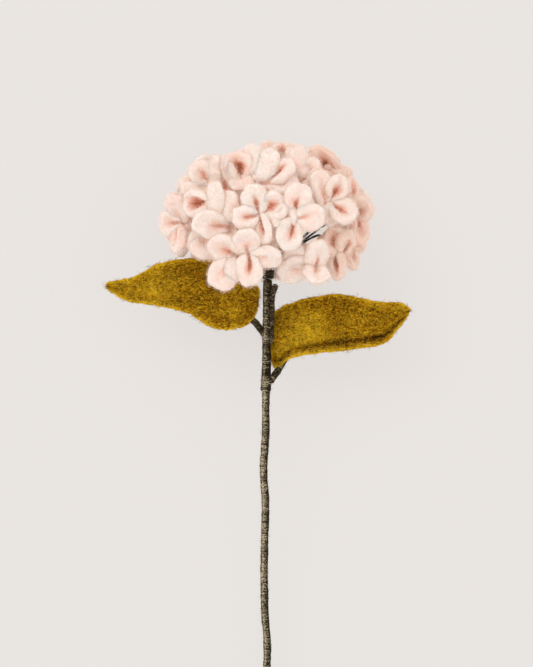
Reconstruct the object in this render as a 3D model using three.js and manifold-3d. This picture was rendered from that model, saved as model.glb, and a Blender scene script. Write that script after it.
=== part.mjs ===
// A hydrangea stem made of wool felt, wire and thread, laid down on its back.
// Millimetres, +Z up. The pieces are placed in the flower's own frame first: its origin is the knot
// that binds the floret stalks, +X goes to the right, +Z goes up the flower and -Y is its front.
// The whole flower is then laid down, front up, head towards +Y.

import * as THREE from 'three';
import { mergeVertices } from 'three/addons/utils/BufferGeometryUtils.js';
import Module from 'manifold-3d';

const wasm = await Module();
wasm.setup();

const DEG = Math.PI / 180;

// ---------------------------------------------------------------- driving dimensions

const gap = 0.3; // between pieces that touch
const slack = 0.04; // faces smaller than this are merged away
const room = gap + slack; // what a cut takes round the other piece
const layAngle = 8.2; // how far the stem rises towards the head when the flower lies down, degrees

// The round head: half sizes of the shell on which the florets sit, and its middle.
const head = { x: 42, y: 40, z: 29, middle: new THREE.Vector3(-1, 0, 30) };

// A petal's pad, before it is curled: how much fuller it is than the width that its rims span, how
// far its foot is sunk into the floret, and how far its tip rises from its face. Its half width is
// waist at its middle, flare more at its tip and flare less at its foot.
const petal = {
  thickness: 5.2, fuller: 1.13, longer: 0.99, sunk: 1.8, tipRise: 1.6, waist: 0.93, flare: 0.09,
  sides: 6, rings: 3,
};
const backPetal = { start: 1.5, length: 17, width: 12.5, lift: 26, curl: 45, firstTurn: 45 };
// The felted middle of a floret, behind its petals, and the neck from it to a petal that starts
// further out than near. reach is how far along such a petal its neck ends.
const middle = { radius: 4.5, behind: 2.8, near: 3.5, neck: 1.4, reach: 0.25 };
const lean = 0.8; // how much more a front floret faces the viewer than the head's shell does there

// The stalks leave the knot in bundles: their trunks stand in a ring, and fork inside the head.
const stalk = {
  radius: 0.65, sides: 5, steps: 3, bundles: 6, trunk: 1.4, whipping: 2, ring: 3.1, fork: 7, forkHeight: 9,
  behind: 9, short: 1.2,
};
const hub = { radius: 2.8, half: 2.8, shoulder: 0.8 };

const stem = { wireRadius: 1, bore: 1.4, upperRadius: 2.3, lowerRadius: 2, sides: 8 };
// Middle of the stem from the knot to its cut end, as [x, z].
const stemLine = [
  [-0.2, -3.1], [-0.4, -16], [-0.6, -34], [-1, -59], [-1.3, -84], [-2.3, -102], [-1.3, -118],
  [-1.8, -141], [-1.8, -170], [-0.5, -190], [-0.5, -203], [-1.2, -232], [-0.6, -262], [0, -292],
];
// The binding of the right leaf's stalk, between the thick winding above and the thin one below.
const binding = { top: -53.4, bottom: -61.2, radius: 2.75 };

// A second wire is wound in with the stem under the head, and its end sticks out on the right.
const secondWire = {
  points: [[2.5, -1, -9], [2.1, -0.9, -15], [1.9, -0.6, -22], [1.6, -0.2, -30], [0.8, 0.4, -36]],
  radius: 1.5,
};
const stub = { points: [[2.2, -1, -11.5], [3.1, -1, -8], [4.1, -1, -5.2]], radius: 1.6 };

const felt = 2.6; // thickness of the leaf felt

// Leaf edges as [x, z], from the stem to the tip. rest is how far back the blade hangs along its
// length, and valley is the depth of the groove along it.
const leaves = {
  left: {
    upper: [
      [-4.2, -8], [-9, -3.5], [-20, 3.5], [-31, 7.6], [-44, 8], [-57.5, 5.2], [-70.5, -1.6], [-84.6, -4.1],
    ],
    lower: [
      [-5.2, -18.5], [-9.4, -25.4], [-17, -28.4], [-28, -28.2], [-43, -20], [-59, -16.4], [-72.5, -14.4],
      [-84.6, -8],
    ],
    rest: [-1.5, 2, 3, -1], valley: 2.4,
  },
  right: {
    upper: [
      [2.2, -20.6], [9, -16], [18, -13.2], [34, -10.4], [47, -12.2], [58, -14.5], [67, -14.6], [74.2, -17.4],
    ],
    lower: [
      [1, -45.4], [4.6, -49.4], [12, -43.9], [28, -41.2], [44, -39.2], [60, -36.4], [68.4, -28], [74.2, -20],
    ],
    rest: [5, 3, 0, 2], valley: 2.6,
  },
};
const leafGrid = { along: 18, across: 6 };
// Shares of a blade's length and width: where its ends are cut, and where its groove runs.
const blade = { endShare: 0.012, rimPower: 0.5, grooveAt: 0.4, grooveWidth: 0.22 };

const leafStalks = {
  left: { points: [[-8.6, 0.6, -23.6], [-5.6, 0.3, -26.4], [-1.8, 0, -32]], radius: 1.7 },
  right: { points: [[9.4, 6, -43.6], [5, 3.2, -50.4], [1, 0.8, -56.4]], radius: 1.75 },
};

// ---------------------------------------------------------------- florets, chosen by eye

// Each front floret: x and z of its middle, how far it stands in front (-y), then its four petals:
// x and z of the foot, x and z of the tip, how far the tip rises towards the viewer, the width, how
// far its sides curl and how far it is twisted about its own length, both in degrees.
const frontFlorets = [
  { at: [-4.7, 29.6], front: 38, petals: [
    [-5.2, 31.2, -8.8, 45, 0, 12.5, 35, 0],
    [-6.2, 28.6, -18.5, 27, 1, 10.5, 55, 0],
    [-3.6, 28.6, 0, 14.3, 1, 9, 50, 35],
    [-2.1, 31.2, 9.1, 36.7, -2, 13, 60, 0],
  ] },
  { at: [13, 29.1], front: 38, petals: [
    [14, 31.7, 16.9, 45, -1, 13.5, 35, 0],
    [15.1, 28.1, 29.1, 28.6, -1, 13.5, 30, 0],
    [12.5, 27, 8.8, 10.9, 0, 13.5, 38, 0],
    [11.4, 24.4, 3.4, 32.2, -2, 13, 55, 0],
  ] },
  { at: [-9.9, 10.4], front: 36, petals: [
    [-9.4, 11.4, -12.5, 22.6, 6, 14, 30, 0],
    [-9.9, 8.8, -8.8, -6.8, -2, 13, 35, 0],
    [-7.3, 8.8, 7.3, 8.1, 1, 11.5, 35, 0],
    [-6.2, 12.5, 4.7, 17.7, -6, 9.5, 50, 0],
  ] },
  { at: [-17.7, 8.3], front: 33, petals: [
    [-16.6, 8.8, -28.1, 18.7, 3, 14, 55, 0],
    [-19.8, 6.2, -26, -8.3, -1, 14.5, 28, 0],
    [-19.2, 5.7, -17.2, -4.2, 3, 10.5, 38, 170],
    [-16.6, 10.4, -20.5, 23.7, -7, 10.5, 50, 0],
  ] },
  { at: [-24.4, 26.5], front: 33, petals: [
    [-21.8, 23.4, -38.5, 26.5, 4, 13, 48, 0],
    [-31.7, 34.8, -42.1, 36.7, -7, 11, 78, 0],
    [-27.6, 27.6, -27.6, 46.8, 3, 9, 55, 165],
    [-21.3, 27, -19.8, 41.9, 2, 11, 45, 168],
  ] },
  { at: [30.7, 36.9], front: 28, petals: [
    [32.8, 34.2, 44.2, 27.5, 0, 14.5, 40, 0],
    [32.2, 38.5, 38, 49.9, -1, 10.5, 55, 0],
    [28.1, 35.9, 25, 53, 1, 11, 50, 0],
    [30.7, 34.3, 33.8, 23.9, -1, 10, 50, 165],
  ] },
  { at: [23.4, 4.2], front: 28, petals: [
    [23.9, 3.6, 25.5, 17.2, 6, 12, 32, 0],
    [23.4, 4.2, 25, -6.8, 6, 12.5, 45, 0],
    [20.8, 5.7, 4.7, 0, -2, 14, 45, 0],
    [19.8, 7.3, 8.3, 11.4, 3, 12.5, 40, 0],
  ] },
  { at: [35.4, 12.5], front: 18, petals: [
    [36.9, 13, 29.3, 22.4, 4, 13, 65, 0],
    [38.5, 12, 41.1, 22.9, 3, 10.5, 45, 0],
    [34.8, 10.4, 36.4, -2.9, -3, 8.5, 50, 40],
    [35.4, 11.4, 30.2, 5.2, -6, 9, 50, 0],
  ] },
  { at: [45.2, 33.3], front: 12, petals: [
    [43.2, 32.2, 53, 37.4, 4, 13.5, 65, 0],
    [45.2, 28.6, 46.5, 15.1, 0, 9.5, 50, 0],
    [43.7, 37.4, 41.3, 49.4, -6, 8.5, 60, 0],
    [45.8, 34.8, 51, 29.6, -9, 12, 40, 0],
  ] },
  { at: [30.2, 54.6], front: 10, petals: [
    [34.3, 53.6, 20.5, 63.2, 4, 11, 60, -45],
    [27, 53.6, 21.3, 57.7, -4, 9, 60, 0],
    [33.3, 53, 44.7, 53, -6, 5.5, 60, 165],
    [28.6, 56.2, 32.8, 60.3, -8, 12, 50, 0],
  ] },
  { at: [16.6, 49.9], front: 27, petals: [
    [19.2, 50.4, 12, 65.8, -5, 12.5, 40, 172],
    [19.2, 49.9, 24.4, 58.2, -4, 8.5, 50, 0],
    [14.6, 50.4, 8.8, 57.2, -8, 8, 50, 0],
    [18.2, 47.8, 22.9, 49.9, -6, 8, 50, 0],
  ] },
  { at: [-2.1, 48.9], front: 31, petals: [
    [-3.6, 49.9, -9.9, 66, -4, 11, 45, 172],
    [-5.7, 47.8, 2.6, 63.2, 1, 12.5, 45, 172],
    [1.6, 47.3, 13.5, 56.9, 0, 10, 45, 0],
    [-1, 44.7, 16.1, 44.5, -1, 11.5, 42, 0],
  ] },
  { at: [6.8, 59.3], front: 14, petals: [
    [7.3, 57.7, 4.7, 67.1, 0, 10.5, 72, 0],
    [8.3, 59.3, 12, 66, -4, 8, 55, 0],
    [4.7, 59.3, -2.1, 67.3, -6, 8, 55, 0],
    [6.2, 60.3, 8.8, 63.4, -12, 11, 50, 0],
  ] },
  { at: [-14.6, 48.9], front: 28, petals: [
    [-14, 48.4, -16.4, 61.9, 0, 12.5, 60, 0],
    [-17.7, 45.8, -22.4, 59.8, 2, 6, 50, 165],
    [-9.5, 51, -8, 60.3, -8, 7.5, 50, 0],
    [-14, 48.9, -13.5, 41.6, 2, 12, 40, 0],
  ] },
  { at: [-29.1, 44.7], front: 21, petals: [
    [-27.6, 44.7, -27.3, 60.6, 4, 7.5, 60, 165],
    [-30.7, 46.8, -38.7, 55.6, -2, 11.5, 55, 0],
    [-32.2, 44.7, -45, 47.1, -5, 8.5, 50, 0],
    [-29.1, 42.6, -45, 42.9, 2, 8, 50, 0],
  ] },
  { at: [-43.7, 26.5], front: 14, petals: [
    [-44.2, 28.1, -46.8, 41.1, 5, 12.5, 35, 0],
    [-45.8, 26.5, -54.6, 25.5, -9, 12.5, 48, 0],
    [-45.2, 22.9, -45.5, 10.4, 6, 10.5, 35, 0],
    [-42.6, 27, -47.8, 17.7, -10, 11, 50, 0],
  ] },
  { at: [-31.7, 17.2], front: 23, petals: [
    [-30.7, 17.7, -35.9, 7.3, 3, 13.5, 35, 0],
    [-33.3, 17.7, -40.6, 14, -2, 9, 50, 0],
    [-30.7, 16.6, -26, 8.3, -7, 10, 50, 0],
    [-32.2, 18.7, -35.4, 25, -7, 9, 50, 0],
  ] },
  { at: [43.2, 15.6], front: 6, petals: [
    [43.7, 16.6, 47.3, 25, 3, 10, 60, 0],
    [42.6, 13, 42.9, 1.6, 1, 8.5, 50, 0],
    [41.6, 15.1, 38.5, 6.2, 2, 8, 50, 0],
    [44.2, 15.6, 48.9, 17.7, -8, 11, 50, 0],
  ] },
];

// The florets that the front hides: height on the head's shell, bearing round the flower, with 180
// straight behind it, the floret's turn about its way out, both in degrees, and the share of the way
// out to the shell at which it stands.
const backFlorets = [
  [0.02, 104, 0, 1], [0.17, 128, 40, 1], [0, 168, 35, 1], [0.02, 195, 120, 1], [0.02, 224, 160, 1],
  [0, 246, 0, 1], [0.58, 122, 0, 1], [0.64, 160, 40, 1], [0.64, 200, 80, 1], [0.58, 238, 0, 1],
  [-0.55, 113, 40, 1], [-0.5, 166, 45, 1], [-0.5, 204, 22, 1], [-0.14, 264, 30, 0.95],
  [0.86, 150, 10, 0.96], [0.84, 210, 15, 0.86], [0.5, 268, 0, 0.84], [-0.45, 240, 0, 0.88],
  [0.45, 94, 0, 0.86], [0.7, 262, 0, 0.8],
];

// ---------------------------------------------------------------- finishes

const finishes = {
  petalFelt: { color: 0xf3d8cd, roughness: 1, metalness: 0 },
  leafFelt: { color: 0x8a6d0a, roughness: 1, metalness: 0 },
  thread: { color: 0x4b4538, roughness: 0.9, metalness: 0 },
  wire: { color: 0x8d8d8a, roughness: 0.4, metalness: 0.9 },
};

// ---------------------------------------------------------------- solids

// A closed mesh as a solid that can be joined and cut.
function solid(geometry) {
  geometry.deleteAttribute('normal');
  geometry.deleteAttribute('uv');
  const whole = mergeVertices(geometry, 1e-4);
  const vertProperties = new Float32Array(whole.attributes.position.array);
  const triVerts = new Uint32Array(whole.index.array);
  return new wasm.Manifold(new wasm.Mesh({ numProp: 3, vertProperties, triVerts }));
}

// A solid as a mesh geometry again.
function surface(body) {
  const mesh = largest(body.simplify(slack)).getMesh();
  const geometry = new THREE.BufferGeometry();
  geometry.setAttribute('position', new THREE.BufferAttribute(mesh.vertProperties, 3));
  geometry.setIndex(new THREE.BufferAttribute(mesh.triVerts, 1));
  geometry.computeVertexNormals();
  return geometry;
}

// The largest of the separate lumps that a cut leaves.
function largest(body) {
  const lumps = body.decompose();
  return lumps.reduce((best, lump) => (lump.volume() > best.volume() ? lump : best));
}

function join(bodies) {
  return bodies.reduce((whole, body) => whole.add(body));
}

function ring(radius, sides) {
  const shape = new THREE.Path();
  for (let i = 0; i < sides; i += 1) {
    const angle = (2 * Math.PI * i) / sides;
    shape[i ? 'lineTo' : 'moveTo'](radius * Math.cos(angle), radius * Math.sin(angle));
  }
  shape.closePath();
  return shape;
}

// A tube along a smooth curve through the points, solid or with a bore.
function tube(points, radius, { sides = 6, steps = 8, bore = 0 } = {}) {
  const outline = new THREE.Shape(ring(radius, sides).getPoints());
  if (bore) outline.holes.push(ring(bore, sides));
  const extrudePath = new THREE.CatmullRomCurve3(points);
  return new THREE.ExtrudeGeometry(outline, { steps, extrudePath, curveSegments: 1 });
}

const vector = ([x, y, z]) => new THREE.Vector3(x, y, z);

// ---------------------------------------------------------------- petals and florets

// Away from the head's middle, square to its shell.
function outward(spot) {
  const away = spot.clone().sub(head.middle);
  return new THREE.Vector3(away.x / head.x ** 2, away.y / head.y ** 2, away.z / head.z ** 2).normalize();
}

function frontFloret({ at, front, petals }) {
  const spot = new THREE.Vector3(at[0], -front, at[1]);
  const out = outward(spot).add(new THREE.Vector3(0, -lean, 0)).normalize();
  const placed = petals.map(([x0, z0, x1, z1, rise, width, curl, twist]) => ({
    foot: new THREE.Vector3(x0, -front, z0),
    tip: new THREE.Vector3(x1, -front - rise, z1),
    width,
    curl,
    twist,
  }));
  return { spot, out, petals: placed };
}

// Four like petals round the way out, each turned a quarter more and lifted by the same angle.
function backFloret([height, bearing, spin, share]) {
  const level = Math.sqrt(1 - height ** 2);
  const spot = new THREE.Vector3(
    head.x * level * Math.sin(bearing * DEG),
    -head.y * level * Math.cos(bearing * DEG),
    head.z * height,
  ).multiplyScalar(share).add(head.middle);
  const out = outward(spot);
  const up = Math.abs(out.z) > 0.97 ? new THREE.Vector3(0, 1, 0) : new THREE.Vector3(0, 0, 1);
  up.addScaledVector(out, -up.dot(out)).normalize();
  const right = new THREE.Vector3().crossVectors(up, out);
  const { start, length, width, curl, firstTurn } = backPetal;
  const lift = backPetal.lift * DEG;
  const petals = [0, 90, 180, 270].map((quarter) => {
    const turn = (firstTurn + quarter + spin) * DEG;
    const along = new THREE.Vector3()
      .addScaledVector(right, Math.cos(turn) * Math.cos(lift))
      .addScaledVector(up, Math.sin(turn) * Math.cos(lift))
      .addScaledVector(out, Math.sin(lift));
    const foot = spot.clone().addScaledVector(along, start);
    return { foot, tip: foot.clone().addScaledVector(along, length), width, curl, twist: 0 };
  });
  return { spot, out, petals };
}

// One petal as a thick rounded pad: a ball drawn out to the petal's length, width and thickness, a
// little wider towards its tip, then curled about its own length into a roll whose rims stand the
// petal's width apart.
function petalBody(out, { foot, tip, width, curl, twist }, grow) {
  const ball = new THREE.SphereGeometry(1, petal.sides, petal.rings);
  const along = tip.clone().sub(foot).normalize();
  const start = foot.clone().addScaledVector(along, -petal.sunk);
  const length = petal.longer * start.distanceTo(tip);
  const untwisted = out.clone().addScaledVector(along, -out.dot(along)).normalize();
  const face = untwisted.clone().applyAxisAngle(along, twist * DEG);
  const side = new THREE.Vector3().crossVectors(along, face);

  const roll = (petal.fuller * width) / 2 / Math.sin(Math.min(curl, 90) * DEG);
  const half = roll * curl * DEG;
  const position = ball.attributes.position;
  const point = new THREE.Vector3();
  for (let i = 0; i < position.count; i += 1) {
    point.fromBufferAttribute(position, i);
    const p = (length / 2) * (1 + point.y) + grow * point.y;
    const q = (half * (petal.waist + petal.flare * point.y) + grow) * point.x;
    const h = (petal.thickness / 2 + grow) * point.z + petal.tipRise * (p / length) ** 2;
    const bend = q / roll;
    point.copy(start)
      .addScaledVector(along, p)
      .addScaledVector(side, (roll - h) * Math.sin(bend))
      .addScaledVector(face, roll - (roll - h) * Math.cos(bend));
    position.setXYZ(i, point.x, point.y, point.z);
  }
  return solid(ball);
}

// Four petals felted together round a small middle.
function floretBody({ spot, out, petals }, grow = 0) {
  const ball = new THREE.OctahedronGeometry(middle.radius + grow, 0);
  const behind = spot.clone().addScaledVector(out, -middle.behind);
  ball.translate(behind.x, behind.y, behind.z);
  const necks = petals
    .filter(({ foot }) => foot.distanceTo(spot) > middle.near)
    .map(({ foot, tip }) => {
      const end = foot.clone().lerp(tip, middle.reach);
      return solid(tube([behind, end], middle.neck + grow, { steps: 1 }));
    });
  return join([solid(ball), ...necks, ...petals.map((one) => petalBody(out, one, grow))]);
}

// ---------------------------------------------------------------- stalks, stem and leaves

// One bundle of wrapped stalks: they leave the knot together, fork, and end behind their florets.
function bundleBody({ bearing, members }, grow = 0) {
  const around = (radius, z) => new THREE.Vector3(
    radius * Math.sin(bearing),
    -radius * Math.cos(bearing),
    z,
  );
  const root = around(stalk.ring, hub.half + gap);
  const fork = around(stalk.fork, stalk.forkHeight);
  const whipping = new THREE.IcosahedronGeometry(stalk.whipping + grow, 0);
  whipping.translate(fork.x, fork.y, fork.z);
  const trunk = tube([root, fork], stalk.trunk + grow, { steps: 1 });
  const stalks = members.map(({ spot, out }) => {
    const behind = spot.clone().addScaledVector(out, -stalk.behind);
    const end = spot.clone().addScaledVector(out, -stalk.short);
    return solid(tube([fork, behind, end], stalk.radius + grow, stalk));
  });
  return join([solid(whipping), solid(trunk), ...stalks]);
}

function stemPoints() {
  return stemLine.map(([x, z]) => new THREE.Vector3(x, 0, z));
}

// The part of the stem's curve between two heights.
function stemStretch(top, bottom, count) {
  const curve = new THREE.CatmullRomCurve3(stemPoints());
  const dense = curve.getPoints(600);
  const points = [];
  for (let i = 0; i < count; i += 1) {
    const z = top + ((bottom - top) * i) / (count - 1);
    const near = dense.reduce((best, one) => (Math.abs(one.z - z) < Math.abs(best.z - z) ? one : best));
    points.push(new THREE.Vector3(near.x, 0, z));
  }
  return points;
}

// A felt blade between its two edge curves: a slab with rounded rims and a groove along it.
function leafBody({ upper, lower, rest, valley }, grow = 0) {
  const edge = (points) => new THREE.CatmullRomCurve3(points.map(([x, z]) => new THREE.Vector3(x, 0, z)));
  const top = edge(upper);
  const bottom = edge(lower);
  const depth = new THREE.CatmullRomCurve3(rest.map((y) => new THREE.Vector3(y, 0, 0)));
  const { along, across } = leafGrid;
  const around = 2 * across;
  const way = Math.sign(lower[0][0]);
  const vertices = [];
  for (let i = 0; i <= along; i += 1) {
    const u = blade.endShare + ((1 - 2 * blade.endShare) * i) / along;
    const from = bottom.getPoint(u);
    const to = top.getPoint(u);
    for (let j = 0; j < around; j += 1) {
      const angle = (-way * 2 * Math.PI * j) / around;
      const v = 0.5 - 0.5 * Math.cos(angle);
      const rim = Math.abs(Math.sin(angle)) ** blade.rimPower;
      const thick = (felt / 2 + grow) * Math.sign(Math.sin(angle)) * rim;
      const groove = valley * Math.exp(-(((v - blade.grooveAt) / blade.grooveWidth) ** 2));
      const y = depth.getPoint(u).x + groove - thick;
      vertices.push(from.x + (to.x - from.x) * v, y, from.z + (to.z - from.z) * v);
    }
  }
  const faces = [];
  for (let i = 0; i < along; i += 1) {
    for (let j = 0; j < around; j += 1) {
      const a = i * around + j;
      const b = i * around + ((j + 1) % around);
      faces.push(a, b, a + around, b, b + around, a + around);
    }
  }
  for (let j = 1; j < around - 1; j += 1) {
    const last = along * around;
    faces.push(0, j + 1, j, last, last + j, last + j + 1);
  }
  const geometry = new THREE.BufferGeometry();
  geometry.setAttribute('position', new THREE.Float32BufferAttribute(vertices, 3));
  geometry.setIndex(faces);
  return solid(geometry);
}

function hubGeometry() {
  const { radius, half, shoulder } = hub;
  const profile = [[0, -half], [radius * shoulder, -half], [radius, 0], [radius * shoulder, half], [0, half]];
  const knot = new THREE.LatheGeometry(profile.map(([r, z]) => new THREE.Vector2(r, z)), 12);
  return knot.rotateX(Math.PI / 2);
}

// ---------------------------------------------------------------- assembly

const flower = new THREE.Group();

function addPiece(name, body, finish) {
  const piece = new THREE.Mesh(surface(body), new THREE.MeshStandardMaterial(finishes[finish]));
  piece.name = name;
  flower.add(piece);
}

// Laid down: the flower turns back about X until its front looks up.
const lay = new THREE.Matrix4().makeRotationX((layAngle - 90) * DEG);

// The surface it lies on, as a block under the lowest point of the stem's cut end.
function restingBlock() {
  const end = vector([stemLine.at(-1)[0], 0, stemLine.at(-1)[1]]).applyMatrix4(lay);
  const floor = end.z - stem.lowerRadius;
  const size = { side: 600, depth: 100 };
  const block = new THREE.BoxGeometry(size.side, size.side, size.depth);
  block.translate(0, 0, floor - size.depth / 2);
  return solid(block.applyMatrix4(lay.clone().invert()));
}

const florets = [...frontFlorets.map(frontFloret), ...backFlorets.map(backFloret)];
const bearingOf = ({ spot }) => (Math.atan2(spot.x, -spot.y) + 2 * Math.PI) % (2 * Math.PI);
const bundles = Array.from({ length: stalk.bundles }, (_, i) => {
  const share = (2 * Math.PI) / stalk.bundles;
  const members = florets.filter((one) => Math.floor(bearingOf(one) / share) === i);
  return { bearing: (i + 0.5) * share, members };
});

const stalkRoom = join(bundles.map((bundle) => bundleBody(bundle, room)));
const leafRoom = join(Object.values(leaves).map((one) => leafBody(one, room)));
const block = restingBlock();

// Each floret gives way to the stalks, the leaves, the surface below and the florets before it.
const taken = [];
florets.forEach((floret, index) => {
  let body = floretBody(floret).subtract(stalkRoom).subtract(leafRoom).subtract(block);
  taken.forEach((other) => {
    body = body.subtract(other);
  });
  taken.push(floretBody(floret, room));
  addPiece(`floret_${String(index + 1).padStart(2, '0')}`, body, 'petalFelt');
});

bundles.forEach((bundle, index) => addPiece(`stalk_bundle_${index + 1}`, bundleBody(bundle), 'thread'));
addPiece('branch_hub', solid(hubGeometry()), 'thread');

const ends = { top: stemLine[0][1], bottom: stemLine.at(-1)[1] };
const stretches = {
  stem_winding_upper: [ends.top, binding.top, stem.upperRadius, 12],
  leaf_stalk_binding: [binding.top - gap, binding.bottom, binding.radius, 3],
  stem_winding_lower: [binding.bottom - gap, ends.bottom, stem.lowerRadius, 28],
};

// One stretch of the stem, solid or as a sleeve round the wire's bore.
function stretchBody([top, bottom, radius, steps], { grow = 0, bore = 0 } = {}) {
  const points = stemStretch(top, bottom, Math.ceil(steps / 2) + 1);
  return solid(tube(points, radius + grow, { sides: stem.sides, bore, steps }));
}

function secondWireBody(grow = 0) {
  const radius = secondWire.radius + grow;
  return solid(tube(secondWire.points.map(vector), radius, { sides: stem.sides, steps: 8 }));
}

for (const [name, stretch] of Object.entries(stretches)) {
  let body = stretchBody(stretch, { bore: stem.bore });
  if (name === 'stem_winding_upper') {
    const [top, bottom, radius, steps] = stretch;
    const core = stretchBody([top, bottom, (stem.bore + radius) / 2, steps]);
    body = body.add(secondWireBody().subtract(core));
  }
  addPiece(name, body, 'thread');
}
const wirePoints = stemStretch(ends.top - gap, ends.bottom, 18);
addPiece('stem_wire', solid(tube(wirePoints, stem.wireRadius, { sides: stem.sides, steps: 36 })), 'wire');

// Room that the stem takes, for the pieces that lie against it.
const stemRoom = join([
  secondWireBody(room),
  ...Object.values(stretches).map((stretch) => stretchBody(stretch, { grow: room })),
]);

for (const side of ['left', 'right']) {
  const { points, radius } = leafStalks[side];
  const path = tube(points.map(vector), radius, { sides: stem.sides, steps: 4 });
  addPiece(`leaf_${side}`, leafBody(leaves[side]).subtract(stemRoom), 'leafFelt');
  addPiece(`leaf_stalk_${side}`, solid(path).subtract(stemRoom).subtract(leafRoom), 'thread');
}
const stubBody = solid(tube(stub.points.map(vector), stub.radius, { sides: stem.sides, steps: 3 }));
addPiece('stalk_end', stubBody.subtract(stemRoom), 'thread');

// The laid flower rests on Z = 0, with the middle of its box over the origin.
flower.applyMatrix4(lay);
const box = new THREE.Box3().setFromObject(flower, true);
const part = new THREE.Group();
part.add(flower);
part.position.set(-(box.min.x + box.max.x) / 2, -(box.min.y + box.max.y) / 2, -box.min.z);

export default part;
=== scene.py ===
# %% [markdown]
# # A hydrangea stem made of wool felt
#
# The construction model is already exact: where each floret sits, how the stem bends, how the leaves
# hang. This lesson gives every piece its looks. It works round one idea: each piece is a surface
# worked out from a formula on a grid of points, and each finish is a small sum of shader nodes.
# The model is loaded first, because every new piece takes its place from it.

import bpy
import numpy as np
from mathutils import Matrix, Vector


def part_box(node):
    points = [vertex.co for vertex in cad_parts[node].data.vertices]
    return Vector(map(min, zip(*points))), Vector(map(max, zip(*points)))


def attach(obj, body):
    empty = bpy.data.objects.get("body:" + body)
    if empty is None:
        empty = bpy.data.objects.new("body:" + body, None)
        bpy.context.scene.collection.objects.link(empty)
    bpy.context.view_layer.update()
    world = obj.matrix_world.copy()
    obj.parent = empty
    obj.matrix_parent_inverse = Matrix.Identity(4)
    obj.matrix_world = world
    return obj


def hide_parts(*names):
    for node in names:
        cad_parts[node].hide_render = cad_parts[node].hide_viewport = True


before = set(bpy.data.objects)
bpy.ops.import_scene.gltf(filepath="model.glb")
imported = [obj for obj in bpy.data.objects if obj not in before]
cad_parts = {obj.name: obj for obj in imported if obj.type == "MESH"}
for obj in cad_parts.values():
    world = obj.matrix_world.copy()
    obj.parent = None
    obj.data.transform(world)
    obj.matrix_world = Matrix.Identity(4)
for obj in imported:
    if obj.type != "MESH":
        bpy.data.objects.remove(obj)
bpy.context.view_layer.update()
print("construction model:", len(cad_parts), "nodes")

# %% [markdown]
# ## The flower's own frame
#
# A flower is easiest to think of standing up: X to the right, Z up the stem, Y to the back, with the
# knot that binds the stalks at the origin. The real one lies on its back, so one function turns and
# moves every point from the standing flower, in millimetres, to where it lies, in metres. The other
# way would be to build each piece lying down, but then no number would read like the flower's own.

# %% Stand the flower up and lay it down
MM = 0.001
LAY_ANGLE = np.radians(8.2)
KNOT = np.array(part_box("branch_hub")).mean(axis=0)
TILT = LAY_ANGLE - np.pi / 2
TURN = np.array([
    [1, 0, 0],
    [0, np.cos(TILT), -np.sin(TILT)],
    [0, np.sin(TILT), np.cos(TILT)],
])


def laid(points):
    """The standing flower's points where it lies: turned about X by TILT, shrunk to metres, and moved
    to the knot."""
    return KNOT + MM * points @ TURN.T


print("knot at", KNOT.round(4), "m")

# %% [markdown]
# ## Surfaces from arrays
#
# A petal, a strand of thread and a fibre of wool are all the same kind of surface: rings of points
# between two ends. So the faces between the rings are worked out once, as index sums, and any number
# of copies is one more sum. Modelling by hand or with primitives would need a different recipe for
# each. Faces have to point outwards, and the sign of the enclosed volume tells whether they do.


# %% Rings, poles and copies
def ring_faces(rings, sides):
    """Quads between each ring of points and the next."""
    ring = sides * np.arange(rings - 1)[:, None]
    column = np.arange(sides)[None, :]
    following, beside = ring + sides, (column + 1) % sides
    quads = [ring + column, ring + beside, following + beside, following + column]
    return np.stack(quads, axis=-1).reshape(-1, 4)


def pole_faces(rings, sides):
    """Triangles from the first ring to the point after the last ring, and from the last ring to the
    point after that."""
    column = np.arange(sides)
    beside = (column + 1) % sides
    top, bottom = rings * sides, rings * sides + 1
    last = (rings - 1) * sides
    first_fan = np.stack([beside, column, np.full(sides, top)], axis=-1)
    last_fan = np.stack([last + column, last + beside, np.full(sides, bottom)], axis=-1)
    return np.concatenate([first_fan, last_fan])


def all_triangles(quads, triangles):
    """Each quad cut in two, then the triangles."""
    return np.concatenate([quads[:, [0, 1, 2]], quads[:, [0, 2, 3]], triangles])


def enclosed(points, quads, triangles):
    """Signed volume: a sixth of the sum of each triangle's scalar triple product, positive where faces
    look out."""
    a, b, c = (points[corner] for corner in all_triangles(quads, triangles).T)
    return np.einsum("ij,ij->", a, np.cross(b, c)) / 6


def shape(points, quads, triangles=None, **shades):
    """One closed surface or several alike, with a number per point for each shade, facing outwards."""
    triangles = np.zeros((0, 3), int) if triangles is None else triangles
    if enclosed(points - points.mean(axis=0), quads, triangles) < 0:
        quads, triangles = quads[:, ::-1], triangles[:, ::-1]
    return {"points": points, "quads": quads, "triangles": triangles, "shades": shades}


def copies(faces, count, stride):
    """The same faces for each of count bodies, whose points follow each other stride apart."""
    return (faces[None] + stride * np.arange(count)[:, None, None]).reshape(-1, faces.shape[1])


def merged(shapes):
    """Several shapes as one: points joined end to end, and face numbers moved up to match."""
    starts = np.cumsum([0] + [len(one["points"]) for one in shapes[:-1]])
    shades = {
        key: np.concatenate([one["shades"].get(key, np.zeros(len(one["points"]))) for one in shapes])
        for key in {key for one in shapes for key in one["shades"]}
    }
    return {
        "points": np.concatenate([one["points"] for one in shapes]),
        "quads": np.concatenate([one["quads"] + start for one, start in zip(shapes, starts)]),
        "triangles": np.concatenate([one["triangles"] + start for one, start in zip(shapes, starts)]),
        "shades": shades,
    }


print("a three-sided needle has", len(pole_faces(1, 3)), "faces")
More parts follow.
